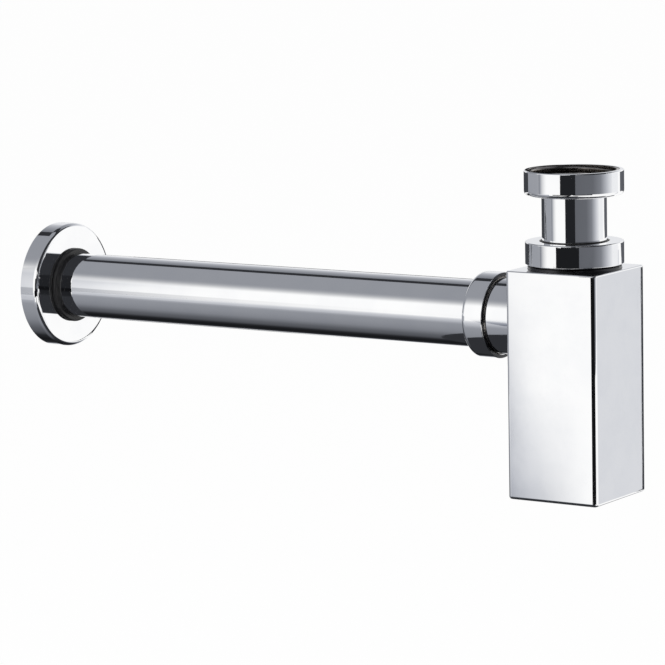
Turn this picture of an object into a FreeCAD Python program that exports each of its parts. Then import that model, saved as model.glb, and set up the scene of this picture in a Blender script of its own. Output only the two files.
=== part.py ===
import FreeCAD, Part
import os
from collections import namedtuple

from FreeCAD import Rotation, Vector

# Chromed brass bottle trap: a square bottle with a telescopic round inlet and a straight pipe
# to the wall. The origin is on the inlet axis, on the face where the basin waste seats. +Z is
# up, and the outlet pipe leaves towards -X. All sizes are in millimetres.

# Union nut, with a 1 1/4 inch pipe thread, and the flat washer inside it
UNION_THREAD_D = 41.9
UNION_THREAD_DEPTH = 1.5
UNION_NUT_WALL = 2.05
UNION_NUT_HEIGHT = 11.7
UNION_LIP = 2.7
UNION_LIP_GAP = 0.9
UNION_RELIEF = 0.35
UNION_BASE_ROUND = 2.2
UNION_RIM_ROUND = 0.6
UNION_MOUTH_CHAMFER = 0.25
WASHER_THICKNESS = 2.0
WASHER_GAP = 0.6

# Inlet tube, which carries the union nut on its collar and dips into the bottle
INLET_D = 30.0
TUBE_WALL = 1.2
COLLAR_THICKNESS = 1.4
COLLAR_GAP = 0.25
COLLAR_ROUND = 0.5
DIP_GAP = 11.5

# Square bottle
BODY_DROP = 40.0
BODY_SIDE = 47.0
BODY_HEIGHT = 106.5
BODY_WALL = 2.0
BODY_TOP_WALL = 3.0
BODY_FLOOR = 4.0
BODY_EDGE_ROUND = 2.0
BODY_TOP_ROUND = 0.7
BODY_BASE_ROUND = 1.5

# Inlet gland on the bottle's top
INLET_SPIGOT_WALL = 4.7
INLET_NECK_STEP = 1.7
INLET_NECK_REACH = 1.3
INLET_NUT_WALL = 2.65
INLET_NUT_STAND = 2.1
INLET_NUT_LENGTH = 10.6
INLET_NUT_ROUND = 0.6
INLET_LIP_GAP = 0.9
INLET_SEAT_DEPTH = 2.0

# Outlet gland on the bottle's side
OUTLET_DROP = 24.5
OUTLET_SPIGOT_WALL = 1.7
OUTLET_BOSS_REACH = 14.4
OUTLET_NUT_WALL = 2.1
OUTLET_NUT_STAND = 15.0
OUTLET_NUT_LENGTH = 11.7
OUTLET_NUT_ROUND = 2.7
OUTLET_LIP_GAP = 0.5
OUTLET_SEAT_DEPTH = 0.5

# What both glands share
GLAND_THREAD_DEPTH = 0.6
GLAND_LIP = 2.0
SLIP_RING_THICKNESS = 1.2
SEAL_PROUD = 1.5
NUT_EDGE_BREAK = 0.4

# Outlet pipe, wall flange and the rubber ring between them
PIPE_D = 32.0
PIPE_LENGTH = 283.5
PIPE_STOP_GAP = 4.0
PIPE_TAIL = 10.0
PIPE_END_CHAMFER = 0.3
FLANGE_D = 62.0
FLANGE_DEPTH = 10.0
FLANGE_WALL = 1.5
FLANGE_EDGE_ROUND = 2.2
RING_GROOVE_WALL = 1.2
RING_BEAD_WALL = 2.5
RING_BEAD_LENGTH = 2.2
RING_BEAD_ROUND = 1.0
RING_HEEL_ROUND = 0.6
RING_BACK_LIP = 1.5

# Clean-out plug in the base
PLUG_THREAD_D = 28.0
PLUG_HEAD_STEP = 2.5
PLUG_HEAD_THICKNESS = 2.2
PLUG_HEAD_GAP = 0.4
PLUG_THREAD_LENGTH = 3.8
PLUG_BOSS_WALL = 5.5
PLUG_SKIN = 3.4
PLUG_SLOT_WIDTH = 2.6
PLUG_SLOT_DEPTH = 1.2
GASKET_THICKNESS = 1.0

# Clearances: a tube in its bore, a plastic ring on its tube, rubber on metal, thread to thread
BORE_GAP = 0.3
SLIP_RING_GAP = 0.2
RUBBER_GAP = 0.05
THREAD_GAP = 0.1
RING_TO_THREAD = 0.4
# How far a cutting or joining solid runs past the face that it meets
OVERRUN = 1.0
SAME = 1e-4

# Heights on the inlet axis, from the seat downwards
COLLAR_TOP = -WASHER_THICKNESS
COLLAR_BASE = COLLAR_TOP - COLLAR_THICKNESS
UNION_BASE = COLLAR_BASE - UNION_LIP
UNION_TOP = UNION_BASE + UNION_NUT_HEIGHT
BODY_TOP = -BODY_DROP
BODY_BASE = BODY_TOP - BODY_HEIGHT
PLUG_SEAT = PLUG_HEAD_THICKNESS + GASKET_THICKNESS
PLUG_TOP = BODY_BASE + PLUG_SEAT + PLUG_THREAD_LENGTH
DIP_END = max(PLUG_TOP, BODY_BASE + BODY_FLOOR) + DIP_GAP

# Stations along the outlet, towards the wall
OUTLET_Z = BODY_TOP - OUTLET_DROP
OUTLET_FACE = -BODY_SIDE / 2
PIPE_START = OUTLET_FACE - PIPE_STOP_GAP
PIPE_END = PIPE_START - PIPE_LENGTH
FLANGE_BACK = PIPE_END + PIPE_TAIL

Gland = namedtuple(
    "Gland",
    "tube_r spigot_wall neck_step neck_reach nut_wall nut_stand nut_length nut_round lip_gap seat_depth",
)
INLET = Gland(
    INLET_D / 2,
    INLET_SPIGOT_WALL,
    INLET_NECK_STEP,
    INLET_NECK_REACH,
    INLET_NUT_WALL,
    INLET_NUT_STAND,
    INLET_NUT_LENGTH,
    INLET_NUT_ROUND,
    INLET_LIP_GAP,
    INLET_SEAT_DEPTH,
)
OUTLET = Gland(
    PIPE_D / 2,
    OUTLET_SPIGOT_WALL,
    0.0,
    OUTLET_BOSS_REACH,
    OUTLET_NUT_WALL,
    OUTLET_NUT_STAND,
    OUTLET_NUT_LENGTH,
    OUTLET_NUT_ROUND,
    OUTLET_LIP_GAP,
    OUTLET_SEAT_DEPTH,
)


def turned(outline):
    """Solid turned about Z from a closed outline of (radius, height) corners."""
    corners = [Vector(radius, 0, height) for radius, height in outline]
    face = Part.Face(Part.makePolygon(corners + corners[:1]))
    solid = face.revolve(Vector(0, 0, 0), Vector(0, 0, 1), 360)
    if solid.Volume < 0:
        solid.reverse()
    return solid


def ring(inner_r, outer_r, low, high):
    """Plain ring about Z."""
    return turned([(inner_r, low), (outer_r, low), (outer_r, high), (inner_r, high)])


def rim(solid, radius, height):
    """Circular edges about Z at this radius and height."""
    return [
        edge
        for edge in solid.Edges
        if isinstance(edge.Curve, Part.Circle)
        and abs(edge.Curve.Radius - radius) < SAME
        and abs(edge.Curve.Center.z - height) < SAME
    ]


def edges_at(solid, height):
    """Edges that lie in the level plane at this height."""
    return [
        edge
        for edge in solid.Edges
        if abs(edge.BoundBox.ZMin - height) < SAME and abs(edge.BoundBox.ZMax - height) < SAME
    ]


def upright_edges(solid):
    """Straight edges that run along Z."""
    return [edge for edge in solid.Edges if edge.BoundBox.XLength + edge.BoundBox.YLength < SAME]


def on_inlet(shape):
    """Places a gland piece, made along +Z from a body face, on the bottle's top."""
    placed = shape.copy()
    placed.translate(Vector(0, 0, BODY_TOP))
    return placed


def on_outlet(shape, station=OUTLET_FACE, towards_wall=True):
    """Places a piece made along +Z on the outlet axis, pointing to the wall or away from it."""
    turn = Rotation(Vector(0, 1, 0), -90 if towards_wall else 90)
    move = FreeCAD.Placement(Vector(station, 0, OUTLET_Z), turn)
    placed = shape.copy()
    placed.Placement = move.multiply(placed.Placement)
    return placed


def bore_r(gland):
    return gland.tube_r + BORE_GAP


def thread_r(gland):
    return bore_r(gland) + gland.spigot_wall


def nut_end(gland):
    return gland.nut_stand + gland.nut_length


def spigot_end(gland):
    return nut_end(gland) - GLAND_LIP - SLIP_RING_THICKNESS - SEAL_PROUD


def gland_boss(gland):
    """Neck and threaded spigot, rooted in the body's wall; the thread is drawn at its root."""
    root_r = thread_r(gland) - GLAND_THREAD_DEPTH
    neck_r = thread_r(gland) + gland.neck_step
    inner_r = gland.tube_r - TUBE_WALL
    return turned(
        [
            (inner_r, -BODY_WALL / 2),
            (neck_r, -BODY_WALL / 2),
            (neck_r, gland.neck_reach),
            (root_r, gland.neck_reach),
            (root_r, spigot_end(gland)),
            (inner_r, spigot_end(gland)),
        ]
    )


def gland_bore(gland, start):
    """Clearance bore from this station outwards, with the seal's cone seat at its mouth."""
    end = spigot_end(gland)
    return turned(
        [
            (0, start),
            (bore_r(gland), start),
            (bore_r(gland), end - gland.seat_depth),
            (bore_r(gland) + gland.seat_depth, end),
            (bore_r(gland) + gland.seat_depth, end + OVERRUN),
            (0, end + OVERRUN),
        ]
    )


def gland_nut(gland):
    """Round nut with a lip at its outer end and a plain bore at the thread's outside."""
    female_r = thread_r(gland) + THREAD_GAP
    nut_r = female_r + gland.nut_wall
    lip_r = gland.tube_r + gland.lip_gap
    low, high = gland.nut_stand, nut_end(gland)
    nut = turned(
        [
            (female_r, low),
            (nut_r, low),
            (nut_r, high),
            (lip_r, high),
            (lip_r, high - GLAND_LIP),
            (female_r, high - GLAND_LIP),
        ]
    )
    nut = nut.makeFillet(gland.nut_round, rim(nut, nut_r, high))
    nut = nut.makeFillet(NUT_EDGE_BREAK, rim(nut, nut_r, low))
    breaks = rim(nut, female_r, low) + rim(nut, lip_r, high)
    return nut.makeChamfer(NUT_EDGE_BREAK, breaks)


def gland_slip_ring(gland):
    """Thin ring under the nut's lip, which the nut turns on."""
    top = nut_end(gland) - GLAND_LIP
    outer_r = thread_r(gland) - RING_TO_THREAD
    return ring(gland.tube_r + SLIP_RING_GAP, outer_r, top - SLIP_RING_THICKNESS, top)


def gland_seal(gland):
    """Rubber ring between the slip ring and the spigot, with a cone that fills the seat."""
    end = spigot_end(gland)
    inner_r = gland.tube_r + RUBBER_GAP
    outer_r = thread_r(gland) - RING_TO_THREAD
    seat_r = bore_r(gland) + gland.seat_depth
    tip = end - gland.seat_depth
    return turned(
        [
            (inner_r, tip),
            (bore_r(gland) - RUBBER_GAP, tip),
            (seat_r - RUBBER_GAP, end),
            (outer_r, end),
            (outer_r, end + SEAL_PROUD),
            (inner_r, end + SEAL_PROUD),
        ]
    )


def union_nut():
    """Nut whose lip hangs on the inlet tube's collar; its bore is drawn at the thread's root."""
    thread = UNION_THREAD_D / 2
    nut_r = thread + UNION_NUT_WALL
    lip_r = INLET_D / 2 + UNION_LIP_GAP
    nut = turned(
        [
            (lip_r, UNION_BASE),
            (nut_r, UNION_BASE),
            (nut_r, UNION_TOP),
            (thread, UNION_TOP),
            (thread, 0),
            (thread + UNION_RELIEF, 0),
            (thread + UNION_RELIEF, COLLAR_BASE),
            (lip_r, COLLAR_BASE),
        ]
    )
    nut = nut.makeFillet(UNION_BASE_ROUND, rim(nut, nut_r, UNION_BASE))
    nut = nut.makeFillet(UNION_RIM_ROUND, rim(nut, nut_r, UNION_TOP))
    nut = nut.makeChamfer(UNION_MOUTH_CHAMFER, rim(nut, thread, UNION_TOP))
    return nut.makeChamfer(NUT_EDGE_BREAK, rim(nut, lip_r, UNION_BASE))


def inlet_washer():
    """Flat washer on the collar, wide enough for the thread's crests to hold it in the nut."""
    inner_r = INLET_D / 2 - TUBE_WALL
    return ring(inner_r, UNION_THREAD_D / 2 - WASHER_GAP, COLLAR_TOP, 0)


def inlet_tube():
    """Tube with a collar that passes the union nut's thread."""
    tube_r = INLET_D / 2
    tube_bore = tube_r - TUBE_WALL
    collar_r = UNION_THREAD_D / 2 - UNION_THREAD_DEPTH - COLLAR_GAP
    tube = turned(
        [
            (tube_bore, DIP_END),
            (tube_r, DIP_END),
            (tube_r, COLLAR_BASE),
            (collar_r, COLLAR_BASE),
            (collar_r, COLLAR_TOP),
            (tube_bore, COLLAR_TOP),
        ]
    )
    return tube.makeFillet(COLLAR_ROUND, rim(tube, tube_r, COLLAR_BASE))


def square_shell():
    """Square bottle with rounded edges, closed at the top and the base."""
    half = BODY_SIDE / 2
    outer = Part.makeBox(BODY_SIDE, BODY_SIDE, BODY_HEIGHT, Vector(-half, -half, BODY_BASE))
    outer = outer.makeFillet(BODY_EDGE_ROUND, upright_edges(outer))
    outer = outer.makeFillet(BODY_BASE_ROUND, edges_at(outer, BODY_BASE))
    outer = outer.makeFillet(BODY_TOP_ROUND, edges_at(outer, BODY_TOP))
    inner_half = half - BODY_WALL
    room = BODY_HEIGHT - BODY_TOP_WALL - BODY_FLOOR
    corner = Vector(-inner_half, -inner_half, BODY_BASE + BODY_FLOOR)
    cavity = Part.makeBox(2 * inner_half, 2 * inner_half, room, corner)
    return outer.cut(cavity)


def plug_socket():
    """Counterbore for the plug's head and gasket, and the threaded hole above it."""
    head_r = PLUG_THREAD_D / 2 + PLUG_HEAD_STEP + PLUG_HEAD_GAP
    hole_r = PLUG_THREAD_D / 2 + THREAD_GAP
    top = PLUG_TOP - BODY_BASE + OVERRUN
    return turned(
        [
            (0, -OVERRUN),
            (head_r, -OVERRUN),
            (head_r, PLUG_SEAT),
            (hole_r, PLUG_SEAT),
            (hole_r, top),
            (0, top),
        ]
    )


def trap_body():
    """One casting: the square bottle, its inlet neck, its outlet boss and the plug's boss."""
    base = Vector(0, 0, BODY_BASE)
    plug_boss_r = PLUG_THREAD_D / 2 + PLUG_BOSS_WALL
    plug_boss = Part.makeCylinder(plug_boss_r, PLUG_TOP - BODY_BASE - BODY_FLOOR / 2)
    plug_boss.translate(base + Vector(0, 0, BODY_FLOOR / 2))
    body = square_shell().fuse([plug_boss, on_inlet(gland_boss(INLET)), on_outlet(gland_boss(OUTLET))])

    socket = plug_socket()
    socket.translate(base)
    port_r = PIPE_D / 2 - TUBE_WALL
    outlet_port = Part.makeCylinder(port_r, BODY_WALL + 2 * OVERRUN)
    outlet_port.translate(Vector(0, 0, -BODY_WALL - OVERRUN))
    cuts = [
        socket,
        on_inlet(gland_bore(INLET, -BODY_TOP_WALL - OVERRUN)),
        on_outlet(gland_bore(OUTLET, 0)),
        on_outlet(outlet_port),
    ]
    return body.cut(cuts).removeSplitter()


def clean_out_plug():
    """Screwed plug, flush with the base, hollow on its wet side, with a coin slot below."""
    root_r = PLUG_THREAD_D / 2 - GLAND_THREAD_DEPTH
    head_r = PLUG_THREAD_D / 2 + PLUG_HEAD_STEP
    top = PLUG_TOP - BODY_BASE
    hollow_r = root_r - PLUG_SKIN
    plug = turned(
        [
            (0, 0),
            (head_r, 0),
            (head_r, PLUG_HEAD_THICKNESS),
            (root_r, PLUG_HEAD_THICKNESS),
            (root_r, top),
            (hollow_r, top),
            (hollow_r, PLUG_SKIN),
            (0, PLUG_SKIN),
        ]
    )
    plug = plug.makeChamfer(NUT_EDGE_BREAK, rim(plug, head_r, 0))
    half_slot = head_r + OVERRUN
    slot = Part.makeBox(2 * half_slot, PLUG_SLOT_WIDTH, PLUG_SLOT_DEPTH + OVERRUN)
    slot.translate(Vector(-half_slot, -PLUG_SLOT_WIDTH / 2, -OVERRUN))
    plug = plug.cut(slot)
    plug.translate(Vector(0, 0, BODY_BASE))
    return plug


def plug_gasket():
    """Flat ring between the plug's head and the base."""
    inner_r = PLUG_THREAD_D / 2 + SLIP_RING_GAP
    outer_r = PLUG_THREAD_D / 2 + PLUG_HEAD_STEP
    low = BODY_BASE + PLUG_HEAD_THICKNESS
    return ring(inner_r, outer_r, low, low + GASKET_THICKNESS)


def outlet_pipe():
    """Straight pipe, with its two ends broken outside."""
    pipe_r = PIPE_D / 2
    pipe = ring(pipe_r - TUBE_WALL, pipe_r, 0, PIPE_LENGTH)
    ends = rim(pipe, pipe_r, 0) + rim(pipe, pipe_r, PIPE_LENGTH)
    return on_outlet(pipe.makeChamfer(PIPE_END_CHAMFER, ends), PIPE_START)


def flange_hole_r():
    return PIPE_D / 2 + RING_GROOVE_WALL + RUBBER_GAP


def wall_flange():
    """Round cover, open at the back, with a hole for the rubber ring."""
    outer_r = FLANGE_D / 2
    plate_back = FLANGE_DEPTH - FLANGE_WALL
    flange = turned(
        [
            (outer_r - FLANGE_WALL, 0),
            (outer_r, 0),
            (outer_r, FLANGE_DEPTH),
            (flange_hole_r(), FLANGE_DEPTH),
            (flange_hole_r(), plate_back),
            (outer_r - FLANGE_WALL, plate_back),
        ]
    )
    flange = flange.makeFillet(FLANGE_EDGE_ROUND, rim(flange, outer_r, FLANGE_DEPTH))
    return on_outlet(flange, FLANGE_BACK, towards_wall=False)


def flange_ring():
    """Rubber ring that grips the pipe, with a groove for the flange's plate and a round bead."""
    pipe_r = PIPE_D / 2
    inner_r = pipe_r + RUBBER_GAP
    groove_r = pipe_r + RING_GROOVE_WALL
    bead_r = pipe_r + RING_BEAD_WALL
    back = FLANGE_DEPTH - FLANGE_WALL - RUBBER_GAP
    front = FLANGE_DEPTH + RUBBER_GAP
    bead_end = front + RING_BEAD_LENGTH
    body = turned(
        [
            (inner_r, back - RING_BACK_LIP),
            (bead_r, back - RING_BACK_LIP),
            (bead_r, back),
            (groove_r, back),
            (groove_r, front),
            (bead_r, front),
            (bead_r, bead_end),
            (inner_r, bead_end),
        ]
    )
    body = body.makeFillet(RING_BEAD_ROUND, rim(body, bead_r, bead_end))
    body = body.makeFillet(RING_HEEL_ROUND, rim(body, bead_r, front))
    return on_outlet(body, FLANGE_BACK, towards_wall=False)


PIECES = {
    "union_nut": union_nut(),
    "inlet_washer": inlet_washer(),
    "inlet_tube": inlet_tube(),
    "inlet_gland_nut": on_inlet(gland_nut(INLET)),
    "inlet_slip_ring": on_inlet(gland_slip_ring(INLET)),
    "inlet_seal": on_inlet(gland_seal(INLET)),
    "trap_body": trap_body(),
    "clean_out_plug": clean_out_plug(),
    "plug_gasket": plug_gasket(),
    "outlet_gland_nut": on_outlet(gland_nut(OUTLET)),
    "outlet_slip_ring": on_outlet(gland_slip_ring(OUTLET)),
    "outlet_seal": on_outlet(gland_seal(OUTLET)),
    "outlet_pipe": outlet_pipe(),
    "wall_flange": wall_flange(),
    "flange_ring": flange_ring(),
}

os.makedirs("parts", exist_ok=True)
for name, shape in PIECES.items():
    shape.exportStep(os.path.join("parts", name + ".step"))
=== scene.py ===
import math
from collections import namedtuple

import bpy
from bpy.props import FloatProperty, FloatVectorProperty, IntProperty, PointerProperty
from mathutils import Matrix, Vector


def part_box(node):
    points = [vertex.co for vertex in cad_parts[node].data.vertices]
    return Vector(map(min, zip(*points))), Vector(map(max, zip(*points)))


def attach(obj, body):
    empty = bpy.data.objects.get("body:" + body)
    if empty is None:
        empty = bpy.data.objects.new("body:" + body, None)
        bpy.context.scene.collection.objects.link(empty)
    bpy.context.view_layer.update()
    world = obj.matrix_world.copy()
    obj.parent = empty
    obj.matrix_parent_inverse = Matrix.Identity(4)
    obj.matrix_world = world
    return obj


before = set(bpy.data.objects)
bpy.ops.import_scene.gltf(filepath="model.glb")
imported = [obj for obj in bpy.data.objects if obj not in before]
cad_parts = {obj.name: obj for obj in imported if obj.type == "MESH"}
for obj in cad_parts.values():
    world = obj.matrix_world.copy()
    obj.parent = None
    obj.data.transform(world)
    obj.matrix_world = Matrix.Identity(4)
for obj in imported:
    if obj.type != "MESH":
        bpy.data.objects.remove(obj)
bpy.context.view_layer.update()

bl_info = {
    "name": "Chromed Bottle Trap",
    "version": (1, 0, 0),
    "blender": (4, 5, 0),
    "location": "View3D > Sidebar > Bottle Trap",
    "description": "Finishes of a chromed bottle trap, its screw threads and a studio stage",
    "category": "Add Mesh",
}

MM = 0.001

# The inlet axis is Z through the origin; the outlet axis runs along -X through this point.
PIPE_LOW, PIPE_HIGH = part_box("outlet_pipe")
OUTLET_AXIS = Vector((0, 0, (PIPE_LOW.z + PIPE_HIGH.z) / 2))
INLET_AXIS = Vector((0, 0, 0))
BODY_LOW, BODY_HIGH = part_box("trap_body")

CHROME_NODES = (
    "union_nut",
    "inlet_tube",
    "inlet_gland_nut",
    "trap_body",
    "clean_out_plug",
    "outlet_gland_nut",
    "outlet_pipe",
    "wall_flange",
)
RUBBER_NODES = ("inlet_washer", "inlet_seal", "outlet_seal", "plug_gasket", "flange_ring")
PLASTIC_NODES = ("inlet_slip_ring", "outlet_slip_ring")

# Bores whose plating stays thin and dull: the axis point, the axis as a mask of the other two
# directions, and the radius up to which a surface counts as inside.
# SHADED_END_FACES give the direction of each nut's hidden end, and NECK_REACH the part of the
# bottle's top that the inlet gland nut covers; both are painted near black as shade.
Bore = namedtuple("Bore", "point across radius")
BORES = {
    "union_nut": Bore(INLET_AXIS, (1, 1, 0), 21.5 * MM),
    "inlet_tube": Bore(INLET_AXIS, (1, 1, 0), 14.4 * MM),
    "inlet_gland_nut": Bore(INLET_AXIS, (1, 1, 0), 20.3 * MM),
    "outlet_gland_nut": Bore(OUTLET_AXIS, (0, 1, 1), 18.3 * MM),
    "outlet_pipe": Bore(OUTLET_AXIS, (0, 1, 1), 15.4 * MM),
    "wall_flange": Bore(OUTLET_AXIS, (0, 1, 1), 30.2 * MM),
    "trap_body": Bore(INLET_AXIS, (1, 1, 0), 40.0 * MM),
}
SHADED_END_FACES = {"inlet_gland_nut": (0, 0, -1), "outlet_gland_nut": (1, 0, 0)}
NECK_REACH = 21.9 * MM
NECK_DROP = 2.25 * MM
NECK_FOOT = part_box("inlet_gland_nut")[0].z - NECK_DROP
# A face counts as turned to a bore's axis under the first cosine, and along a direction over the
# second one.
TURNED_INWARDS = -0.5
TURNED_ALONG = 0.8

# Scales of the surface patterns, in features a metre, and the heights of their relief.
CLOUD_SCALE = 55.0
SMEAR_SCALE = 130.0
CHATTER_SCALE = 900.0
STAIN_SCALE = 160.0
RUBBER_GRAIN_SCALE = 2600.0
BLOOM_SCALE = 120.0
PLASTIC_GRAIN_SCALE = 1800.0
AGE_SCALE = 90.0
CHATTER_HEIGHT = 0.002 * MM
RUBBER_GRAIN_HEIGHT = 0.012 * MM
PLASTIC_GRAIN_HEIGHT = 0.015 * MM
# Worn brass against the plain one, and aged plastic against new.
WORN_SHARE = 1.5
AGED_SHARES = (0.98, 0.95, 0.86)

# Modelling: the angle under which faces are shaded as one, the gap that a seam closes, the reach
# of a cut, and the rounds of a thread's crest and of the wiper's lip as shares of their widths.
SMOOTH_ANGLE = math.radians(35)
SEAM_GAP = 1e-6
CUT_REACH = 1e-7
CREST_ROUND = 0.45
LIP_ROUND = 0.4


class TrapFinishes(bpy.types.PropertyGroup):
    """Colours and surface of the plating, the rubber and the plastic."""

    chrome: FloatVectorProperty(
        name="Chrome",
        description="Colour of the polished plating",
        default=(0.985, 0.987, 0.99),
        subtype="COLOR",
        min=0.0,
        max=1.0,
    )
    chrome_haze: FloatVectorProperty(
        name="Chrome haze",
        description="Colour of the plating where it is slightly cloudy",
        default=(0.95, 0.955, 0.965),
        subtype="COLOR",
        min=0.0,
        max=1.0,
    )
    chrome_roughness: FloatProperty(
        name="Chrome roughness",
        description="Roughness of the clean plating",
        default=0.025,
        min=0.0,
        max=1.0,
        subtype="FACTOR",
    )
    smear_roughness: FloatProperty(
        name="Smear roughness",
        description="Roughness where the plating is handled",
        default=0.07,
        min=0.0,
        max=1.0,
        subtype="FACTOR",
    )
    ripple_width: FloatProperty(
        name="Ripple width",
        description="Width of the polisher's ripples on the plating",
        default=0.014,
        unit="LENGTH",
    )
    ripple_height: FloatProperty(
        name="Ripple height",
        description="Height of the polisher's ripples on the plating",
        default=0.000016,
        unit="LENGTH",
    )
    inside: FloatVectorProperty(
        name="Inside",
        description="Colour of the thinly plated brass inside the bores",
        default=(0.3, 0.28, 0.26),
        subtype="COLOR",
        min=0.0,
        max=1.0,
    )
    inside_roughness: FloatProperty(
        name="Inside roughness",
        description="Roughness inside the bores",
        default=0.3,
        min=0.0,
        max=1.0,
        subtype="FACTOR",
    )
    # Painted shade: a near-black colour laid on the hidden ends of the gland nuts and on the
    # bottle's neck under the inlet nut, where shade falls.
    recess_shade: FloatVectorProperty(
        name="Recess",
        description="Colour of the unpolished brass under and behind the gland nuts",
        default=(0.06, 0.06, 0.064),
        subtype="COLOR",
        min=0.0,
        max=1.0,
    )
    rubber: FloatVectorProperty(
        name="Rubber",
        description="Colour of the moulded rubber",
        default=(0.012, 0.012, 0.013),
        subtype="COLOR",
        min=0.0,
        max=1.0,
    )
    rubber_bloom: FloatVectorProperty(
        name="Rubber bloom",
        description="Colour of the rubber's pale bloom",
        default=(0.03, 0.03, 0.032),
        subtype="COLOR",
        min=0.0,
        max=1.0,
    )
    plastic: FloatVectorProperty(
        name="Plastic",
        description="Colour of the slip rings",
        default=(0.8, 0.8, 0.78),
        subtype="COLOR",
        min=0.0,
        max=1.0,
    )


class TrapThreads(bpy.types.PropertyGroup):
    """Sizes of the screw threads."""

    union_pitch: FloatProperty(
        name="Union pitch",
        description="Pitch of the pipe thread in the union nut",
        default=2.309 * MM,
        unit="LENGTH",
    )
    union_depth: FloatProperty(
        name="Union depth",
        description="Depth of the pipe thread in the union nut",
        default=1.48 * MM,
        unit="LENGTH",
    )
    gland_pitch: FloatProperty(
        name="Gland pitch",
        description="Pitch of the gland nuts' and the plug's threads",
        default=0.999 * MM,
        unit="LENGTH",
    )
    gland_depth: FloatProperty(
        name="Gland depth",
        description="Depth of the gland nuts' and the plug's threads",
        default=0.6 * MM,
        unit="LENGTH",
    )
    steps: IntProperty(
        name="Steps",
        description="Number of steps in one turn of a thread",
        default=96,
        min=24,
        max=256,
    )


class TrapWiper(bpy.types.PropertyGroup):
    """Sizes of the wiper lip round the inlet tube."""

    collar: FloatProperty(
        name="Collar",
        description="How far the tube's collar stands out from the tube",
        default=4.2 * MM,
        unit="LENGTH",
    )
    clearance: FloatProperty(
        name="Clearance",
        description="Gap between the lip and the tube",
        default=0.06 * MM,
        unit="LENGTH",
    )
    wall: FloatProperty(
        name="Wall",
        description="Thickness of the lip",
        default=0.6 * MM,
        unit="LENGTH",
    )
    proud: FloatProperty(
        name="Proud",
        description="How far the lip stands out of the nut",
        default=0.4 * MM,
        unit="LENGTH",
    )
    steps: IntProperty(
        name="Steps",
        description="Number of steps round the lip",
        default=128,
        min=24,
        max=256,
    )


class TrapStage(bpy.types.PropertyGroup):
    """Camera, floor and light."""

    azimuth: FloatProperty(
        name="Azimuth",
        description="Camera's bearing round the trap",
        default=math.radians(33.707),
        subtype="ANGLE",
    )
    elevation: FloatProperty(
        name="Elevation",
        description="Camera's height above the horizon",
        default=math.radians(8.412),
        subtype="ANGLE",
    )
    roll: FloatProperty(
        name="Roll",
        description="Camera's turn about its own line of sight",
        default=math.radians(-1.164),
        subtype="ANGLE",
    )
    location: FloatVectorProperty(
        name="Location",
        description="Camera's place",
        default=(0.81433, -1.42269, 0.17399),
        subtype="TRANSLATION",
        unit="LENGTH",
    )
    lens: FloatProperty(
        name="Lens",
        description="Focal length in millimetres on a 36 mm sensor",
        default=193.98,
    )
    floor_drop: FloatProperty(
        name="Floor drop",
        description="Height of the trap's base above the floor",
        default=0.15,
        unit="LENGTH",
    )
    ambient: FloatProperty(
        name="Ambient",
        description="Strength of the surrounding light",
        default=0.55,
        min=0.0,
    )
    lamp_watts: FloatProperty(
        name="Lamp",
        description="Power of the overhead softbox",
        default=9.0,
        min=0.0,
        unit="POWER",
    )


def add_node(tree, kind, inputs=None, **settings):
    """New shader node; an input is a value or another node's socket."""
    node = tree.nodes.new(kind)
    for key, value in settings.items():
        setattr(node, key, value)
    for key, value in (inputs or {}).items():
        if isinstance(value, bpy.types.NodeSocket):
            tree.links.new(value, node.inputs[key])
        else:
            node.inputs[key].default_value = value
    return node


def rgba(colour):
    return (*colour, 1.0)


def new_material(name):
    """Material with its Principled shader, and Object coordinates to drive it."""
    material = bpy.data.materials.new(name)
    material.use_nodes = True
    tree = material.node_tree
    shader = tree.nodes["Principled BSDF"]
    place = add_node(tree, "ShaderNodeTexCoord").outputs["Object"]
    return material, tree, shader, place


def noise(tree, place, scale, detail=2.0, roughness=0.5):
    texture = add_node(
        tree,
        "ShaderNodeTexNoise",
        {"Vector": place, "Scale": scale, "Detail": detail, "Roughness": roughness},
    )
    return texture.outputs["Fac"]


def ranged(tree, value, low, high, to_low, to_high):
    node = add_node(
        tree,
        "ShaderNodeMapRange",
        {"Value": value, "From Min": low, "From Max": high, "To Min": to_low, "To Max": to_high},
        interpolation_type="SMOOTHSTEP",
    )
    return node.outputs["Result"]


def mixed(tree, factor, first, second, kind, data_type):
    """Mix of two values or sockets of one kind, which is Color or Float."""
    node = add_node(tree, "ShaderNodeMix", {"Factor": factor}, data_type=data_type)
    for key, value in (("A_" + kind, first), ("B_" + kind, second)):
        socket = next(s for s in node.inputs if s.identifier == key)
        if isinstance(value, bpy.types.NodeSocket):
            tree.links.new(value, socket)
        else:
            socket.default_value = value
    return next(s for s in node.outputs if s.identifier == "Result_" + kind)


def mixed_colour(tree, factor, first, second):
    return mixed(tree, factor, first, second, "Color", "RGBA")


def mixed_value(tree, factor, first, second):
    return mixed(tree, factor, first, second, "Float", "FLOAT")


def vector_node(tree, operation, first, second=None, result="Vector"):
    inputs = {0: first} if second is None else {0: first, 1: second}
    return add_node(tree, "ShaderNodeVectorMath", inputs, operation=operation).outputs[result]


def value_node(tree, operation, first, second):
    return add_node(tree, "ShaderNodeMath", {0: first, 1: second}, operation=operation).outputs[0]


def lay_surface(tree, shader, colour, polish, height, relief):
    """Links a finish's colour, roughness and relief to its shader."""
    bump = add_node(
        tree, "ShaderNodeBump", {"Height": height, "Distance": relief, "Strength": 1.0}
    )
    tree.links.new(colour, shader.inputs["Base Color"])
    tree.links.new(polish, shader.inputs["Roughness"])
    tree.links.new(bump.outputs["Normal"], shader.inputs["Normal"])


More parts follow.
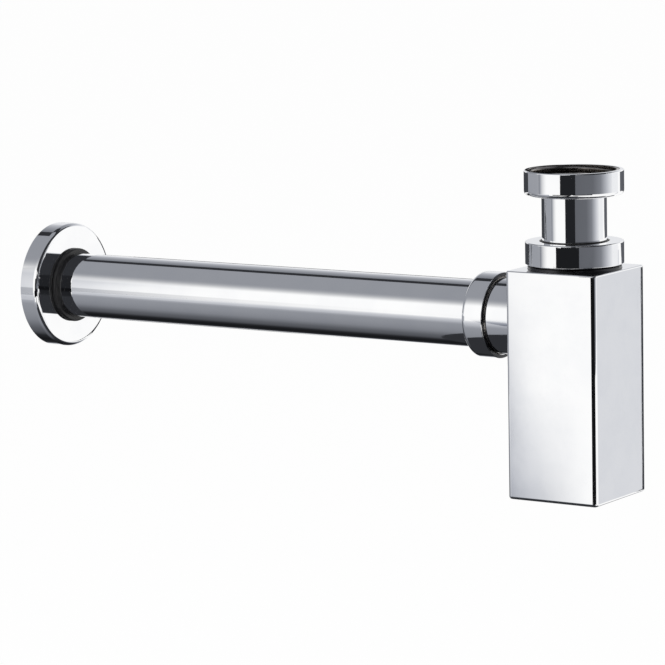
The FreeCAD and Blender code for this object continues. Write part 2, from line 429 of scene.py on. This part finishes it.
def bore_mask(tree, place, facing, bore):
    """1 where the surface lies within the bore's reach and faces its axis."""
    offset = vector_node(tree, "SUBTRACT", place, bore.point)
    spoke = vector_node(tree, "MULTIPLY", offset, bore.across)
    reach = vector_node(tree, "LENGTH", spoke, result="Value")
    outwards = vector_node(tree, "NORMALIZE", spoke)
    turned = vector_node(tree, "DOT_PRODUCT", facing, outwards, result="Value")
    inwards = value_node(tree, "LESS_THAN", turned, TURNED_INWARDS)
    near = value_node(tree, "LESS_THAN", reach, bore.radius)
    return value_node(tree, "MULTIPLY", inwards, near)


def neck_shade_mask(tree, place):
    """1 on the bottle's neck and on the part of its top that the inlet gland nut covers, where
    shade is painted.
    """
    spoke = vector_node(tree, "MULTIPLY", place, (1, 1, 0))
    reach = vector_node(tree, "LENGTH", spoke, result="Value")
    near = value_node(tree, "LESS_THAN", reach, NECK_REACH)
    height = vector_node(tree, "DOT_PRODUCT", place, (0, 0, 1), result="Value")
    above = value_node(tree, "GREATER_THAN", height, NECK_FOOT)
    return value_node(tree, "MULTIPLY", near, above)


def end_shade_mask(tree, facing, direction):
    """1 on the faces that look along the direction."""
    turned = vector_node(tree, "DOT_PRODUCT", facing, direction, result="Value")
    return value_node(tree, "GREATER_THAN", turned, TURNED_ALONG)


def chrome_finish(node, finishes):
    """Polished plating: faint ripples, cloudy patches and smears; matt brass inside the bores, and
    painted shade in near black under and behind the gland nuts.
    """
    material, tree, shader, place = new_material(node + "_plating")
    shader.inputs["Metallic"].default_value = 1.0

    ripples = noise(tree, place, 1.0 / finishes.ripple_width, detail=1.5)
    clouds = noise(tree, place, CLOUD_SCALE, detail=4.0, roughness=0.6)
    smears = noise(tree, place, SMEAR_SCALE, detail=5.0, roughness=0.65)
    haze = ranged(tree, clouds, 0.35, 0.7, 0.0, 1.0)
    colour = mixed_colour(tree, haze, rgba(finishes.chrome), rgba(finishes.chrome_haze))
    polish = ranged(
        tree, smears, 0.45, 0.75, finishes.chrome_roughness, finishes.smear_roughness
    )

    facing = add_node(tree, "ShaderNodeTexCoord").outputs["Normal"]
    # Matt brass in the bores, and painted shade: the near-black recess colour on the nuts' hidden
    # end faces and on the bottle's neck.
    dull_and_shaded = []
    if node in BORES:
        dull_and_shaded.append((bore_mask(tree, place, facing, BORES[node]), finishes.inside))
    if node in SHADED_END_FACES:
        dull_and_shaded.append((end_shade_mask(tree, facing, SHADED_END_FACES[node]), finishes.recess_shade))
    if node == "trap_body":
        dull_and_shaded.append((neck_shade_mask(tree, place), finishes.recess_shade))
    for mask, shade in dull_and_shaded:
        colour = mixed_colour(tree, mask, colour, rgba(shade))
        polish = mixed_value(tree, mask, polish, finishes.inside_roughness)

    lay_surface(tree, shader, colour, polish, ripples, finishes.ripple_height)
    return material


def thread_finish(finishes):
    """Thinly plated brass of the cut threads, with the tool's fine chatter."""
    material, tree, shader, place = new_material("thread_plating")
    shader.inputs["Metallic"].default_value = 1.0
    chatter = noise(tree, place, CHATTER_SCALE, detail=3.0)
    stain = noise(tree, place, STAIN_SCALE, detail=4.0, roughness=0.6)
    tone = ranged(tree, stain, 0.4, 0.7, 0.0, 1.0)
    worn = tuple(WORN_SHARE * channel for channel in finishes.inside)
    colour = mixed_colour(tree, tone, rgba(finishes.inside), rgba(worn))
    polish = ranged(tree, chatter, 0.3, 0.7, 0.14, 0.26)
    lay_surface(tree, shader, colour, polish, chatter, CHATTER_HEIGHT)
    return material


def rubber_finish(finishes):
    """Black moulded rubber with a fine grain and a little pale bloom."""
    material, tree, shader, place = new_material("moulded_rubber")
    grain = noise(tree, place, RUBBER_GRAIN_SCALE, detail=2.0)
    bloom = noise(tree, place, BLOOM_SCALE, detail=5.0, roughness=0.6)
    tone = ranged(tree, bloom, 0.42, 0.72, 0.0, 1.0)
    colour = mixed_colour(tree, tone, rgba(finishes.rubber), rgba(finishes.rubber_bloom))
    polish = ranged(tree, bloom, 0.3, 0.7, 0.34, 0.5)
    lay_surface(tree, shader, colour, polish, grain, RUBBER_GRAIN_HEIGHT)
    return material


def plastic_finish(finishes):
    """Matt white plastic with a moulded texture and faint yellowing."""
    material, tree, shader, place = new_material("moulded_plastic")
    grain = noise(tree, place, PLASTIC_GRAIN_SCALE, detail=2.0)
    age = noise(tree, place, AGE_SCALE, detail=3.0)
    tone = ranged(tree, age, 0.35, 0.7, 0.0, 1.0)
    aged = tuple(channel * share for channel, share in zip(finishes.plastic, AGED_SHARES))
    colour = mixed_colour(tree, tone, rgba(finishes.plastic), rgba(aged))
    polish = ranged(tree, grain, 0.3, 0.7, 0.42, 0.56)
    lay_surface(tree, shader, colour, polish, grain, PLASTIC_GRAIN_HEIGHT)
    return material


def dress(node, material):
    """Gives a CAD node its finish."""
    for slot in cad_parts[node].material_slots:
        slot.material = material


def deselect_all():
    bpy.ops.object.select_all(action="DESELECT")


def select_vertices(mesh, test):
    """Selects in edit mode the vertices whose place passes the test."""
    bpy.ops.mesh.select_all(action="DESELECT")
    bpy.ops.object.mode_set(mode="OBJECT")
    for vertex in mesh.vertices:
        vertex.select = test(vertex.co)
    bpy.ops.object.mode_set(mode="EDIT")


def close_piece(piece):
    """Merges the piece's seams and turns its faces outwards; a piece left open is an error."""
    bpy.ops.object.mode_set(mode="EDIT")
    bpy.ops.mesh.select_all(action="SELECT")
    bpy.ops.mesh.remove_doubles(threshold=SEAM_GAP)
    bpy.ops.mesh.normals_make_consistent(inside=False)
    bpy.ops.mesh.select_all(action="DESELECT")
    bpy.ops.mesh.select_non_manifold()
    bpy.ops.object.mode_set(mode="OBJECT")
    if any(edge.select for edge in piece.data.edges):
        raise RuntimeError(piece.name + " is not closed")


# A thread winds up its own axis, which is then turned and moved to the axis point. The ridge is as
# wide as base at its foot and as crest at its top, and lead sets where the first turn starts.
Thread = namedtuple(
    "Thread", "name body root_r crest_r pitch low high base crest lead point turn"
)
UPRIGHT = (0, 0, 0)
TO_WALL = (0, -math.pi / 2, 0)
# A ridge's foot lies this deep in its wall, and two mating threads stay this far apart.
THREAD_BURY = 0.03 * MM
THREAD_GAP = 0.1 * MM
UNION_THREAD_R = 20.95 * MM
UNION_THREAD_TOP = 5.35 * MM
# Foot, top and start of a ridge as shares of the pitch.
UNION_BASE, UNION_CREST, UNION_LEAD = 0.92, 0.2, 0.37
GLAND_BASE, GLAND_CREST, GLAND_LEAD = 0.8, 0.16, 0.391

# Two threads that screw into each other: the root radius of the outer thread, and how far each of
# the two reaches along the axis, in millimetres.
ThreadPair = namedtuple(
    "ThreadPair", "outer outer_body inner inner_body root outer_reach inner_reach point turn"
)
THREAD_PAIRS = (
    ThreadPair(
        "inlet_spigot_thread", "bottle", "inlet_nut_thread", "inlet_gland_nut",
        19.4, (-37.9, -32.0), (-37.5, -29.9), INLET_AXIS, UPRIGHT,
    ),
    ThreadPair(
        "outlet_spigot_thread", "bottle", "outlet_nut_thread", "outlet_gland_nut",
        17.4, (38.6, 45.5), (38.95, 47.6), OUTLET_AXIS, TO_WALL,
    ),
    ThreadPair(
        "plug_thread", "clean_out_plug", "plug_hole_thread", "bottle",
        13.4, (-142.9, -139.5), (-143.3, -139.5), INLET_AXIS, UPRIGHT,
    ),
)


def trap_threads(sizes):
    """Every thread of the trap."""
    pitch, depth = sizes.union_pitch, sizes.union_depth
    made = [
        Thread(
            "union_thread", "inlet_union", UNION_THREAD_R + THREAD_BURY, UNION_THREAD_R - depth,
            pitch, 0.0, UNION_THREAD_TOP, UNION_BASE * pitch, UNION_CREST * pitch,
            UNION_LEAD * pitch, INLET_AXIS, UPRIGHT,
        )
    ]
    pitch, depth = sizes.gland_pitch, sizes.gland_depth
    base, crest, lead = GLAND_BASE * pitch, GLAND_CREST * pitch, GLAND_LEAD * pitch
    for pair in THREAD_PAIRS:
        root_r = pair.root * MM
        bore_r = root_r + depth + THREAD_GAP
        low, high = pair.outer_reach
        made.append(
            Thread(
                pair.outer, pair.outer_body, root_r - THREAD_BURY, root_r + depth, pitch,
                low * MM, high * MM, base, crest, lead, pair.point, pair.turn,
            )
        )
        inner_low, inner_high = pair.inner_reach
        between = (low - inner_low) * MM + lead + pitch / 2
        made.append(
            Thread(
                pair.inner, pair.inner_body, bore_r + THREAD_BURY, bore_r - depth, pitch,
                inner_low * MM, inner_high * MM, base, crest, between % pitch,
                pair.point, pair.turn,
            )
        )
    return made


def cut_thread(thread, steps, material):
    """Screw thread: one ridge profile, wound up its axis and cut off square at both ends."""
    reach = thread.crest_r - thread.root_r
    start = thread.low - thread.pitch + thread.lead
    turns = math.ceil((thread.high - start) / thread.pitch) + 1
    centre = Vector((thread.root_r + reach / 2, 0, start))
    deselect_all()
    bpy.ops.mesh.primitive_plane_add(size=1.0, location=centre, rotation=(math.pi / 2, 0, 0))
    piece = bpy.context.object
    piece.name = thread.name
    bpy.ops.object.transform_apply(location=True, rotation=True, scale=True)
    bpy.ops.object.mode_set(mode="EDIT")
    bpy.ops.mesh.select_all(action="SELECT")
    bpy.ops.transform.resize(value=(abs(reach), 1, thread.base), center_override=centre)
    select_vertices(piece.data, lambda place: (place.x - centre.x) * reach > 0)
    bpy.ops.transform.resize(value=(1, 1, thread.crest / thread.base), center_override=centre)
    bpy.ops.mesh.bevel(
        offset=thread.crest * CREST_ROUND, segments=2, affect="VERTICES", clamp_overlap=True
    )
    bpy.ops.object.mode_set(mode="OBJECT")
    winding = piece.modifiers.new("winding", "SCREW")
    winding.axis = "Z"
    winding.angle = math.tau
    winding.screw_offset = thread.pitch
    winding.iterations = turns
    winding.steps = steps
    winding.render_steps = steps
    bpy.ops.object.modifier_apply(modifier=winding.name)
    bpy.ops.object.mode_set(mode="EDIT")
    for height, cut in ((thread.low, "clear_inner"), (thread.high, "clear_outer")):
        bpy.ops.mesh.select_all(action="SELECT")
        bpy.ops.mesh.bisect(
            plane_co=(0, 0, height),
            plane_no=(0, 0, 1),
            use_fill=True,
            threshold=CUT_REACH,
            **{cut: True},
        )
    bpy.ops.object.mode_set(mode="OBJECT")
    close_piece(piece)
    piece.rotation_euler = thread.turn
    piece.location = thread.point
    bpy.ops.object.transform_apply(location=True, rotation=True, scale=True)
    bpy.ops.object.shade_smooth_by_angle(angle=SMOOTH_ANGLE)
    piece.data.materials.clear()
    piece.data.materials.append(material)
    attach(piece, thread.body)


class TRAP_OT_plate_chrome(bpy.types.Operator):
    """Gives every brass piece its polished plating"""

    bl_idname = "trap.plate_chrome"
    bl_label = "Plate Chrome"

    def execute(self, context):
        finishes = context.scene.trap_finishes
        for node in CHROME_NODES:
            dress(node, chrome_finish(node, finishes))
        return {"FINISHED"}


class TRAP_OT_mould_rubber(bpy.types.Operator):
    """Gives the washer, seals, gasket and flange ring their rubber"""

    bl_idname = "trap.mould_rubber"
    bl_label = "Mould Rubber"

    def execute(self, context):
        material = rubber_finish(context.scene.trap_finishes)
        for node in RUBBER_NODES:
            dress(node, material)
        return {"FINISHED"}


class TRAP_OT_mould_plastic(bpy.types.Operator):
    """Gives the slip rings their plastic"""

    bl_idname = "trap.mould_plastic"
    bl_label = "Mould Plastic"

    def execute(self, context):
        material = plastic_finish(context.scene.trap_finishes)
        for node in PLASTIC_NODES:
            dress(node, material)
        return {"FINISHED"}


class TRAP_OT_cut_threads(bpy.types.Operator):
    """Cuts the pipe thread in the union nut, and the threads of both glands and of the plug"""

    bl_idname = "trap.cut_threads"
    bl_label = "Cut Threads"

    def execute(self, context):
        sizes = context.scene.trap_threads
        material = thread_finish(context.scene.trap_finishes)
        for thread in trap_threads(sizes):
            cut_thread(thread, sizes.steps, material)
        return {"FINISHED"}


class TRAP_OT_fit_wiper(bpy.types.Operator):
    """Fits the rubber wiper lip that stands out of the inlet gland nut, round the tube"""

    bl_idname = "trap.fit_wiper"
    bl_label = "Fit Wiper"

    def execute(self, context):
        sizes = context.scene.trap_wiper
        tube_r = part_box("inlet_tube")[1].x - sizes.collar
        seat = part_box("inlet_slip_ring")[1].z
        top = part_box("inlet_gland_nut")[1].z + sizes.proud
        inner = tube_r + sizes.clearance
        deselect_all()
        centre = Vector((inner + sizes.wall / 2, 0, (seat + top) / 2))
        bpy.ops.mesh.primitive_plane_add(size=1.0, location=centre, rotation=(math.pi / 2, 0, 0))
        piece = bpy.context.object
        piece.name = "inlet_wiper"
        bpy.ops.object.transform_apply(location=True, rotation=True, scale=True)
        bpy.ops.object.mode_set(mode="EDIT")
        bpy.ops.mesh.select_all(action="SELECT")
        bpy.ops.transform.resize(value=(sizes.wall, 1, top - seat), center_override=centre)
        select_vertices(piece.data, lambda place: place.z > centre.z)
        bpy.ops.mesh.bevel(offset=sizes.wall * LIP_ROUND, segments=4, affect="VERTICES")
        bpy.ops.object.mode_set(mode="OBJECT")
        turning = piece.modifiers.new("turning", "SCREW")
        turning.axis = "Z"
        turning.steps = sizes.steps
        turning.render_steps = sizes.steps
        turning.use_merge_vertices = True
        bpy.ops.object.modifier_apply(modifier=turning.name)
        close_piece(piece)
        bpy.ops.object.shade_smooth_by_angle(angle=SMOOTH_ANGLE)
        piece.data.materials.clear()
        piece.data.materials.append(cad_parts["inlet_seal"].material_slots[0].material)
        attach(piece, "inlet_slip_ring")
        return {"FINISHED"}


# The floor's size, paint and share of white where it is seen, the lamp's place and size, and the
# camera's sensor in millimetres and range.
WHITE = (1, 1, 1, 1)
FLOOR_SIZE = 24.0
FLOOR_PAINT = (0.92, 0.92, 0.92, 1)
FLOOR_GLOW = 0.97
LAMP_PLACE = (-0.35, -0.5, 1.1)
LAMP_SIZE = (1.2, 0.9)
SENSOR_WIDTH = 36.0
CAMERA_RANGE = (0.01, 100.0)
# Red and blue against green in the darkest grey of a card.
SHADE_RED, SHADE_BLUE = 0.945, 1.15

# Studio cards seen only in the plating. A standing card is placed by its bearing from the inlet
# axis (0 along +X, turning towards +Y), its distance, and its lower and upper edge; a level card by
# its own box, turned about the inlet axis. Tones run along one of the card's directions, and each
# edge (left, right, low, high) may be soft over a share of the card. A veil darkens what is behind
# it instead of hiding it.
Card = namedtuple(
    "Card", "name bearing distance half_width low high along tones soft veil", defaults=(False,)
)
LevelCard = namedtuple(
    "LevelCard", "name left right near far height along tones soft turn", defaults=(0.0,)
)
FLOOR_CARD = -0.295
STRIP_LOW = -0.25
HARD = (0.0, 0.0, 0.0, 0.0)


def even(tone):
    return ((0.0, tone), (1.0, tone))


def arc_cards(name, first, last, distance, low, high, tone, count):
    """Standing cards side by side, on an arc about the inlet axis."""
    width = (last - first) / count
    half = distance * math.tan(math.radians(width / 2))
    return tuple(
        Card(
            "%s_%d" % (name, index), first + width * (index + 0.5), distance, half, low, high,
            "x", even(tone), HARD,
        )
        for index in range(count)
    )


STANDING_CARDS = arc_cards("edge_flag", -111.0, -18.0, 0.75, FLOOR_CARD, -0.133, 0.006, 12) + (
    Card("front_flag", -74.65, 1.0, 0.3124, STRIP_LOW, 0.2, "x", even(0.016), HARD),
    Card("pipe_image_flag", -63.2, 1.02, 0.1, FLOOR_CARD, 1.2, "x", even(0.016), HARD),
    Card(
        "front_veil", -120.2, 0.6, 0.04, -0.27, -0.1, "y",
        ((0.0, 0.58), (0.1, 0.66), (0.14, 0.72), (0.22, 0.81), (0.33, 0.87), (0.475, 1.0),
         (1.0, 1.0)),
        (0.0, 0.5, 0.0, 0.0), True,
    ),
    Card(
        "front_edge_veil", -120.2, 0.59, 0.04, -0.27, -0.1, "x",
        ((0.0, 0.62), (0.313, 0.62), (0.3375, 0.68), (0.362, 0.74), (0.408, 0.81), (0.4855, 0.925),
         (0.6, 1.0), (1.0, 1.0)),
        (0.0, 0.0, 0.0, 0.65), True,
    ),
    Card(
        "right_card", -10.0, 1.05, 1.208, STRIP_LOW, -0.01, "x",
        ((0.0, 0.12), (0.447, 0.135), (0.6, 0.22), (0.721, 0.45), (0.816, 0.63), (1.0, 0.87)), HARD,
    ),
    Card(
        "right_upper_card", -10.0, 1.04, 1.208, -0.01, 0.35, "x",
        ((0.0, 0.05), (0.45, 0.06), (0.6, 0.12), (0.8, 0.3), (1.0, 0.6)), HARD,
    ),
    Card("right_back_card", 48.5, 1.3, 0.217, FLOOR_CARD, -0.02, "x", even(0.87), HARD),
    Card("right_near_card", 59.7, 0.5, 0.034, FLOOR_CARD, -0.092, "x", even(0.7), HARD),
    Card("gland_flag", -74.3, 0.06, 0.0248, -0.0455, -0.0331, "x", even(0.012), HARD),
    Card("right_edge_flag", 63.0, 0.0599, 0.0128, -0.16, -0.045, "x", even(0.05), HARD),
    Card("flange_edge_flag", 147.0, 0.3145, 0.1, -0.055, -0.03, "x", even(0.05), HARD),
    Card(
        "back_flag", 123.5, 1.2, 1.564, STRIP_LOW, -0.07, "x",
        ((0.0, 0.13), (0.3, 0.1), (0.5, 0.06), (1.0, 0.045)), HARD,
    ),
    Card("rim_flag", 136.4, 0.0512, 0.0105, 0.0065, 0.06, "x", even(0.01), (0.35, 0.0, 0.0, 0.0)),
    Card("left_upper_card", -175.0, 1.2, 0.56, -0.07, 0.5, "x", even(0.3), (0.0, 0.2, 0.0, 0.2)),
    Card(
        "pipe_veil", -141.45, 0.8095, 0.09, -0.3, 0.3, "x",
        ((0.0, 0.5), (0.393, 0.74), (0.453, 0.8), (0.593, 0.92), (0.78, 0.98), (0.944, 1.0),
         (1.0, 1.0)),
        (0.0, 0.0, 0.3, 0.3), True,
    ),
    Card("back_upper_card", 121.0, 1.25, 0.7, -0.02, 0.35, "x", even(0.8), (0.1, 0.1, 0.0, 0.2)),
    Card(
        "left_card", -157.0, 1.2, 0.779, FLOOR_CARD, -0.08, "x", even(0.33), (0.0, 0.454, 0.0, 0.12)
    ),
)
LEVEL_CARDS = (
    LevelCard(
        "front_floor_card", -1.6, -0.05, -0.5, -0.03, FLOOR_CARD, "y",
        ((0.0, 0.42), (0.26, 0.3), (0.45, 0.285), (0.59, 0.27), (0.704, 0.25), (0.8, 0.225),
         (0.8875, 0.17), (0.973, 0.115), (1.0, 0.105)), HARD,
    ),
    LevelCard(
        "far_floor_card", -1.2, 0.008, -1.45, -0.57, FLOOR_CARD - 0.0005, "y",
        ((0.0, 0.93), (0.55, 0.62), (1.0, 0.42)), (0.0, 0.01, 0.1, 0.0), -32.0,
    ),
    LevelCard(
        "image_floor_flag", -0.28, -0.15, -1.2, -0.17, FLOOR_CARD, "y", even(0.016), HARD, 38.2
    ),
    LevelCard(
        "back_floor_card", -1.6, 0.05, -0.03, 0.4, FLOOR_CARD, "y",
        ((0.0, 0.105), (0.071, 0.085), (0.178, 0.02), (0.32, 0.008), (0.605, 0.02), (0.89, 0.4),
         (1.0, 0.6)),
        (0.0, 0.05, 0.0, 0.1),
    ),
    LevelCard(
        "image_near_flag", -0.2, 0.2, -0.33, 0.2, FLOOR_CARD + 0.0005, "y", even(0.03), HARD
    ),
    LevelCard("flange_low_flag", -0.38, -0.22, 0.08, 0.2, -0.12, "y", even(0.02), HARD),
    LevelCard(
        "ceiling_card", -2.6, 1.4, -1.7, 0.25, 0.8, "y", even(0.3), (0.1, 0.1, 0.56, 0.0)
    ),
    LevelCard(
        "right_ceiling_flag", 0.2, 2.5, -1.5, 1.2, 0.78, "y", even(0.03), HARD
    ),
    LevelCard(
        "ceiling_flag", -2.6, 1.4, 0.25, 0.47, 0.8, "y", even(0.03), (0.1, 0.1, 0.0, 0.0)
    ),
    LevelCard(
        "back_ceiling_card", -3.0, 1.4, 0.47, 2.6, 0.8, "y",
        ((0.0, 0.2), (0.065, 0.25), (0.26, 0.4), (0.53, 0.62), (1.0, 0.95)), (0.1, 0.1, 0.0, 0.0),
    ),
)


def seen_rays(tree):
    """1 for a ray that shows the stage itself: to the camera, in a reflection or through glass."""
    path = add_node(tree, "ShaderNodeLightPath")
    seen = path.outputs["Is Camera Ray"]
    for kind in ("Is Glossy Ray", "Is Transmission Ray"):
        seen = value_node(tree, "MAXIMUM", seen, path.outputs[kind])
    return seen


def tinted(tone):
    """Grey of the studio's cool daylight: bluish where it is dark, neutral towards white."""
    red = SHADE_RED + (1.0 - SHADE_RED) * tone
    blue = SHADE_BLUE + (1.0 - SHADE_BLUE) * tone
    return (tone * red, tone, min(1.0, tone * blue), 1.0)


def card_material(name, along, tones, soft, veil=False):
    """Card of given greys whose edges fade over their soft share."""
    material = bpy.data.materials.new(name)
    material.use_nodes = True
    tree = material.node_tree
    tree.nodes.clear()
    place = add_node(tree, "ShaderNodeTexCoord").outputs["Object"]
    parts = add_node(tree, "ShaderNodeSeparateXYZ", {"Vector": place})
    cover = None
    for axis, low_soft, high_soft in (("X", soft[0], soft[1]), ("Y", soft[2], soft[3])):
        for edge, share in ((-1.0, low_soft), (1.0, high_soft)):
            if share <= 0:
                continue
            inner = edge - 2.0 * share * edge
            fade = ranged(tree, parts.outputs[axis], edge, inner, 0.0, 1.0)
            cover = fade if cover is None else value_node(tree, "MULTIPLY", cover, fade)
    run = add_node(
        tree,
        "ShaderNodeMapRange",
        {"Value": parts.outputs[along.upper()], "From Min": -1.0, "From Max": 1.0},
    )
    ramp = add_node(tree, "ShaderNodeValToRGB", {"Fac": run.outputs["Result"]})
    stops = ramp.color_ramp.elements
    while len(stops) < len(tones):
        stops.new(0.5)
    for stop, (position, tone) in zip(stops, tones):
        stop.position = position
        stop.color = tinted(tone)
    if veil:
        front = add_node(tree, "ShaderNodeBsdfTransparent", {"Color": ramp.outputs["Color"]})
    else:
        front = add_node(tree, "ShaderNodeEmission", {"Color": ramp.outputs["Color"]})
    clear = add_node(tree, "ShaderNodeBsdfTransparent")
    mix = add_node(tree, "ShaderNodeMixShader", {"Fac": 1.0 if cover is None else cover})
    tree.links.new(clear.outputs["BSDF"], mix.inputs[1])
    tree.links.new(front.outputs[0], mix.inputs[2])
    add_node(tree, "ShaderNodeOutputMaterial", {"Surface": mix.outputs["Shader"]})
    return material


def hang_card(name, location, rotation, half_width, half_height, material):
    deselect_all()
    bpy.ops.mesh.primitive_plane_add(size=2.0, location=location, rotation=rotation)
    card = bpy.context.object
    card.name = name
    card.scale = (half_width, half_height, 1.0)
    card.data.materials.append(material)
    card.visible_camera = False
    card.visible_diffuse = False
    card.visible_transmission = False
    card.visible_volume_scatter = False
    card.visible_shadow = False


class TRAP_OT_build_stage(bpy.types.Operator):
    """Builds the floor, the light, the reflector cards and the camera"""

    bl_idname = "trap.build_stage"
    bl_label = "Build Stage"

    def execute(self, context):
        stage = context.scene.trap_stage
        self.light_world(context.scene, stage)
        self.lay_floor(stage)
        self.hang_cards()
        self.hang_lamp(stage)
        self.place_camera(context.scene, stage)
        context.scene.view_settings.view_transform = "Standard"
        return {"FINISHED"}

    def light_world(self, scene, stage):
        world = bpy.data.worlds.new("studio")
        world.use_nodes = True
        tree = world.node_tree
        tree.nodes.clear()
        white = add_node(tree, "ShaderNodeBackground", {"Color": WHITE, "Strength": 1.0})
        around = add_node(
            tree, "ShaderNodeBackground", {"Color": WHITE, "Strength": stage.ambient}
        )
        mix = add_node(tree, "ShaderNodeMixShader", {"Fac": seen_rays(tree)})
        tree.links.new(around.outputs["Background"], mix.inputs[1])
        tree.links.new(white.outputs["Background"], mix.inputs[2])
        add_node(tree, "ShaderNodeOutputWorld", {"Surface": mix.outputs["Shader"]})
        scene.world = world

    def lay_floor(self, stage):
        deselect_all()
        height = BODY_LOW.z - stage.floor_drop
        bpy.ops.mesh.primitive_plane_add(size=FLOOR_SIZE, location=(0, 0, height))
        floor = bpy.context.object
        floor.name = "studio_floor"
        material = bpy.data.materials.new("studio_floor")
        material.use_nodes = True
        tree = material.node_tree
        tree.nodes.clear()
        paint = add_node(tree, "ShaderNodeBsdfDiffuse", {"Color": FLOOR_PAINT})
        white = add_node(tree, "ShaderNodeEmission", {"Color": WHITE, "Strength": 1.0})
        share = value_node(tree, "MULTIPLY", seen_rays(tree), FLOOR_GLOW)
        mix = add_node(tree, "ShaderNodeMixShader", {"Fac": share})
        tree.links.new(paint.outputs["BSDF"], mix.inputs[1])
        tree.links.new(white.outputs["Emission"], mix.inputs[2])
        add_node(tree, "ShaderNodeOutputMaterial", {"Surface": mix.outputs["Shader"]})
        floor.data.materials.append(material)

    def hang_cards(self):
        for card in STANDING_CARDS:
            bearing = math.radians(card.bearing)
            place = Vector(
                (
                    card.distance * math.cos(bearing),
                    card.distance * math.sin(bearing),
                    (card.low + card.high) / 2,
                )
            )
            hang_card(
                card.name,
                place,
                (math.pi / 2, 0, bearing + math.pi / 2),
                card.half_width,
                (card.high - card.low) / 2,
                card_material(card.name, card.along, card.tones, card.soft, card.veil),
            )
        for card in LEVEL_CARDS:
            turn = Matrix.Rotation(math.radians(card.turn), 3, "Z")
            middle = Vector(((card.left + card.right) / 2, (card.near + card.far) / 2, card.height))
            hang_card(
                card.name,
                turn @ middle,
                turn.to_euler(),
                (card.right - card.left) / 2,
                (card.far - card.near) / 2,
                card_material(card.name, card.along, card.tones, card.soft),
            )

    def hang_lamp(self, stage):
        deselect_all()
        bpy.ops.object.light_add(type="AREA", location=LAMP_PLACE)
        lamp = bpy.context.object
        lamp.name = "overhead_softbox"
        lamp.data.shape = "RECTANGLE"
        lamp.data.size, lamp.data.size_y = LAMP_SIZE
        lamp.data.energy = stage.lamp_watts
        aim = (BODY_LOW + BODY_HIGH) / 2 - lamp.location
        lamp.rotation_euler = aim.to_track_quat("-Z", "Y").to_euler()
        lamp.visible_glossy = False

    def place_camera(self, scene, stage):
        bearing, rise, roll = stage.azimuth, stage.elevation, stage.roll
        back = Vector(
            (
                math.sin(bearing) * math.cos(rise),
                -math.cos(bearing) * math.cos(rise),
                math.sin(rise),
            )
        )
        level = Vector((math.cos(bearing), math.sin(bearing), 0))
        upright = back.cross(level)
        right = level * math.cos(roll) + upright * math.sin(roll)
        up = upright * math.cos(roll) - level * math.sin(roll)
        deselect_all()
        bpy.ops.object.camera_add(location=stage.location)
        camera = bpy.context.object
        camera.name = "photo_camera"
        camera.rotation_euler = Matrix((right, up, back)).transposed().to_euler()
        camera.data.sensor_width = SENSOR_WIDTH
        camera.data.lens = stage.lens
        camera.data.clip_start, camera.data.clip_end = CAMERA_RANGE
        camera.data.dof.use_dof = False
        scene.camera = camera


class TRAP_PT_sidebar(bpy.types.Panel):
    """Steps that dress the trap, in order"""

    bl_label = "Bottle Trap"
    bl_idname = "TRAP_PT_sidebar"
    bl_space_type = "VIEW_3D"
    bl_region_type = "UI"
    bl_category = "Bottle Trap"

    def draw(self, context):
        for group in GROUPS:
            box = self.layout.box()
            settings = getattr(context.scene, group)
            for name in settings.__annotations__:
                box.prop(settings, name)
        for operator in OPERATORS:
            self.layout.operator(operator.bl_idname)


GROUPS = {
    "trap_finishes": TrapFinishes,
    "trap_threads": TrapThreads,
    "trap_wiper": TrapWiper,
    "trap_stage": TrapStage,
}
OPERATORS = (
    TRAP_OT_plate_chrome,
    TRAP_OT_mould_rubber,
    TRAP_OT_mould_plastic,
    TRAP_OT_cut_threads,
    TRAP_OT_fit_wiper,
    TRAP_OT_build_stage,
)
CLASSES = (*GROUPS.values(), *OPERATORS, TRAP_PT_sidebar)


def register():
    for cls in CLASSES:
        bpy.utils.register_class(cls)
    for name, group in GROUPS.items():
        setattr(bpy.types.Scene, name, PointerProperty(type=group))


def unregister():
    for name in GROUPS:
        delattr(bpy.types.Scene, name)
    for cls in reversed(CLASSES):
        bpy.utils.unregister_class(cls)


def main():
    register()
    bpy.ops.trap.plate_chrome()
    bpy.ops.trap.mould_rubber()
    bpy.ops.trap.mould_plastic()
    bpy.ops.trap.cut_threads()
    bpy.ops.trap.fit_wiper()
    bpy.ops.trap.build_stage()


if __name__ == "__main__":
    main()
